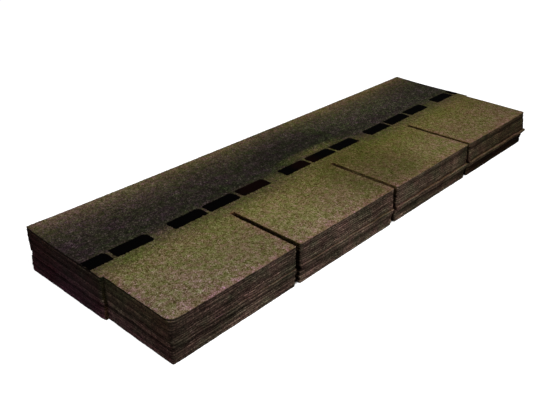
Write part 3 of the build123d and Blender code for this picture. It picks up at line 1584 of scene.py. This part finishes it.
@dataclass(frozen=True)
class BackdropFinish:
    """The pale floor: white to the camera and to reflections, with the bundle's shadow on it."""

    seen: Colour = (0.5, 0.5, 0.5)
    footprint_shade: Colour = (0.02, 0.016, 0.012)
    glow: float = 0.93
    bounce: Colour = (0.16, 0.155, 0.15)
    covered: Pair = (0.484, 0.156)
    fade: float = 0.008

    def material(self) -> Material:
        """Make the floor's finish: dull for the bundle's light, and glowing for the viewer.

        Returns:
            The material. The glow fades out under the bundle, and the pale colour goes over to a
            dark one there as painted shade, so that its slots stay dark down to the floor.
        """
        bench = Bench.named("pale_floor")
        along, across, _ = bench.parts(bench.place())
        past = [
            bench.span(abs(place), half, half + self.fade, 0.0, 1.0)
            for place, half in zip((along, across), self.covered)
        ]
        open_floor = bench.math("MAXIMUM", *past)
        # Painted shade: the floor under the bundle goes dark
        pale_colour = bench.mix(open_floor, self.footprint_shade, self.seen)
        dull = bench.node("ShaderNodeBsdfDiffuse", {"Color": (*self.bounce, 1.0)})
        pale = bench.node("ShaderNodeBsdfDiffuse", {"Color": pale_colour})
        glow = bench.node("ShaderNodeEmission", {"Strength": open_floor * self.glow})
        both = bench.node("ShaderNodeAddShader", {0: pale, 1: glow})
        chosen = bench.node("ShaderNodeMixShader", {0: bench.viewed(), 1: dull, 2: both})
        bench.node("ShaderNodeOutputMaterial", {"Surface": chosen})
        return bench.owner


@dataclass(frozen=True)
class Studio:
    """The floor, the lamp, the light all round and the camera."""

    floor_size: float = 12.0
    lamp_place: Colour = (-0.34, -0.62, 1.4)
    lamp_aim: Colour = (0.0, 0.0, 0.05)
    lamp_size: float = 0.5
    lamp_power: float = 20.5
    ambient: float = 0.15
    camera_place: Colour = (-0.90031, -0.71326, 0.59298)
    camera_aim: Colour = (-0.31744, -0.17927, 0.16273)
    lens: float = 44.128
    nearest: float = 0.05

    def floor(self, material: Material) -> None:
        """Lay the floor under the bundle: a flat grid."""
        steps = np.linspace(-0.5, 0.5, 3) * self.floor_size
        points = np.stack(np.meshgrid(steps, steps, 0.0), -1).reshape(-1, 3)
        quads = grid_quads(len(steps), len(steps))
        floor = make_piece("floor", points, [(0, quads)], [material])

    @staticmethod
    def aimed(name: str, data: bpy.types.ID, place: Colour, aim: Colour) -> bpy.types.Object:
        """Stand a lamp or camera at a place and point it at its aim."""
        made = bpy.data.objects.new(name, data)
        made.location = place
        towards = Vector(aim) - Vector(place)
        made.rotation_euler = towards.to_track_quat("-Z", "Y").to_euler()
        bpy.context.scene.collection.objects.link(made)
        return made

    def lights(self) -> None:
        """Hang one soft lamp over the bundle, a little to the front."""
        data = bpy.data.lights.new("soft_lamp", "AREA")
        data.shape = "SQUARE"
        data.size = self.lamp_size
        data.energy = self.lamp_power
        self.aimed("soft_lamp", data, self.lamp_place, self.lamp_aim)

    def world(self) -> None:
        """Make the surroundings white to the viewer and a dim even light to the bundle."""
        bench = Bench(bpy.data.worlds.new("surroundings"))
        strength = bench.viewed() * (1.0 - self.ambient) + self.ambient
        inputs = {"Color": (*WHITE, 1.0), "Strength": strength}
        sky = bench.node("ShaderNodeBackground", inputs)
        bench.node("ShaderNodeOutputWorld", {"Surface": sky})
        bpy.context.scene.world = bench.owner

    def camera(self) -> None:
        """Stand the camera where the photograph was taken from."""
        data = bpy.data.cameras.new("camera")
        data.lens = self.lens
        data.clip_start = self.nearest
        camera = self.aimed("camera", data, self.camera_place, self.camera_aim)
        bpy.context.scene.camera = camera


@dataclass(frozen=True)
class Bundle:
    """All the sheets and their pads, with the finishes they share."""

    count: int = 18
    # Painted shade for the granules of the sheets under the top one
    covered_painted_shade: Colour = (0.62, 0.56, 0.6)
    top_pad_columns: int = 44
    top_pad_rows: int = 18

    def build(self) -> None:
        """Build the sheets from the lowest up, each with its pads, and report them."""
        open_granules = GranuleFinish().material("granules")
        covered = GranuleFinish(painted_shade=self.covered_painted_shade).material("shaded_covered_granules")
        edges = [CutEdgeFinish().material(), UndersideFinish().material()]
        bitumen = BitumenFinish().material()
        for number in range(self.count):
            place = SheetPlace.of_node(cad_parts[f"shingle_{number + 1:02d}"], DIE)
            pads = SealPads(number, place)
            if number < self.count - 1:
                pieces = [Shingle(number, place).build([covered, *edges])]
            else:
                pieces = [TopShingle(number, place).build([open_granules, *edges])]
                pads.columns, pads.rows = self.top_pad_columns, self.top_pad_rows
            pieces.append(pads.build(bitumen))
            for piece in pieces:
                LOG.info("%s: %d faces", piece.name, len(piece.data.polygons))


def main() -> None:
    """Set up the studio, then build the bundle."""
    logging.basicConfig(level=logging.INFO, format="%(name)s: %(message)s")
    bpy.context.scene.view_settings.view_transform = "Standard"
    studio = Studio()
    studio.camera()
    studio.lights()
    studio.world()
    studio.floor(BackdropFinish().material())
    Bundle().build()


if __name__ == "__main__":
    main()
